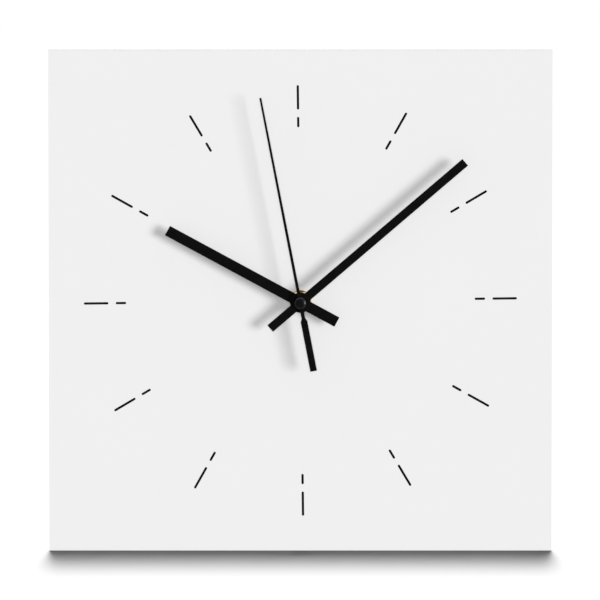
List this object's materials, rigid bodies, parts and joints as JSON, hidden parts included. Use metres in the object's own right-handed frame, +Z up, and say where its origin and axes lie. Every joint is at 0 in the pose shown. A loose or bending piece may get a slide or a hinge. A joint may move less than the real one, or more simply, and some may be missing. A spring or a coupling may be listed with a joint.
{
  "type": "wall clock",
  "caption": "Square white wall clock with slotted hour marks and black stick hands on a battery quartz movement.",
  "frame": {"origin": "on the spindle axis, at the back of the movement where it rests against the wall", "axes": "+Y out of the clock's back into the wall, so the face looks along -Y; +Z up; +X to the right as the face is seen"},
  "size_m": [0.3, 0.037, 0.3],
  "materials": {
    "panel_white": "white matt lacquer on fibreboard, slots laser-cut",
    "board_black": "black hardboard",
    "rubber_grey": "moulded rubber",
    "brass": "turned brass",
    "case_black": "fine textured moulding",
    "plate_steel": "rolled and stamped",
    "board_green": "solder mask on glass laminate",
    "resin_black": "cast resin",
    "nickel": "nickel plated",
    "bobbin_ivory": "moulded",
    "copper": "enamelled copper wire, wound",
    "sleeve_blue": "shrunk film",
    "magnet_grey": "sintered",
    "wheel_white": "moulded acetal",
    "knob_red": "moulded",
    "hand_black": "satin black lacquer on stamped aluminium",
    "cap_black": "moulded, half gloss"
  },
  "bodies": {
    "case": {"front_panel": "panel_white", "backing_panel": "board_black", "rubber_washer": "rubber_grey", "brass_washer": "brass", "hex_nut": "brass", "front_case": "case_black", "rear_cover": "case_black", "train_plate": "plate_steel", "hanger": "case_black", "circuit_board": "board_green", "circuit_chip": "resin_black", "quartz_crystal": "nickel", "coil_core": "plate_steel", "coil_bobbin": "bobbin_ivory", "coil_winding": "copper", "stator": "plate_steel", "positive_contact": "nickel", "negative_contact": "nickel"},
    "battery": {"battery_can": "nickel", "battery_sleeve": "sleeve_blue"},
    "rotor": {"rotor_magnet": "magnet_grey", "rotor_pinion": "wheel_white"},
    "intermediate": {"intermediate_wheel": "wheel_white"},
    "second": {"second_wheel": "wheel_white", "second_hand": "hand_black", "second_hand_tube": "nickel", "second_hand_cap": "cap_black"},
    "third": {"third_wheel": "wheel_white"},
    "centre": {"centre_wheel": "wheel_white"},
    "minute": {"minute_tube": "brass", "clutch_spring": "brass", "minute_hand": "hand_black", "minute_hand_bush": "hand_black"},
    "motion": {"minute_wheel": "wheel_white"},
    "hour": {"hour_wheel": "wheel_white", "hour_hand": "hand_black", "hour_hand_bush": "hand_black"},
    "setting": {"setting_knob": "knob_red", "setting_pinion": "wheel_white"}
  },
  "joints": [
    {"name": "second_spin", "type": "hinge", "parent": "case", "child": "second", "pos_m": [0, 0, 0], "axis": [0, 1, 0], "continuous": true},
    {"name": "rotor_spin", "type": "hinge", "parent": "case", "child": "rotor", "pos_m": [0.01054, 0, 0.00925], "axis": [0, 1, 0], "continuous": true},
    {"name": "intermediate_spin", "type": "hinge", "parent": "case", "child": "intermediate", "pos_m": [0.00396, 0, 0.00686], "axis": [0, 1, 0], "continuous": true},
    {"name": "third_spin", "type": "hinge", "parent": "case", "child": "third", "pos_m": [-0.00736, 0, 0.00425], "axis": [0, 1, 0], "continuous": true},
    {"name": "centre_spin", "type": "hinge", "parent": "case", "child": "centre", "pos_m": [0, 0, 0], "axis": [0, 1, 0], "continuous": true},
    {"name": "minute_spin", "type": "hinge", "parent": "case", "child": "minute", "pos_m": [0, 0, 0], "axis": [0, 1, 0], "continuous": true},
    {"name": "motion_spin", "type": "hinge", "parent": "case", "child": "motion", "pos_m": [0.00864, 0, 0], "axis": [0, 1, 0], "continuous": true},
    {"name": "hour_spin", "type": "hinge", "parent": "case", "child": "hour", "pos_m": [0, 0, 0], "axis": [0, 1, 0], "continuous": true},
    {"name": "setting_spin", "type": "hinge", "parent": "case", "child": "setting", "pos_m": [0.01662, 0, -0.00141], "axis": [0, 1, 0], "continuous": true},
    {"name": "battery_slide", "type": "slide", "parent": "case", "child": "battery", "axis": [0, 1, 0], "range_m": [0, 0.02]}
  ],
  "couplings": [
    {"joint": "rotor_spin", "follows": "second_spin", "ratio": 30},
    {"joint": "intermediate_spin", "follows": "second_spin", "ratio": -5},
    {"joint": "third_spin", "follows": "second_spin", "ratio": -0.13333},
    {"joint": "centre_spin", "follows": "second_spin", "ratio": 0.016667},
    {"joint": "motion_spin", "follows": "minute_spin", "ratio": -0.33333},
    {"joint": "hour_spin", "follows": "minute_spin", "ratio": 0.083333},
    {"joint": "setting_spin", "follows": "minute_spin", "ratio": 1.3333}
  ]
}
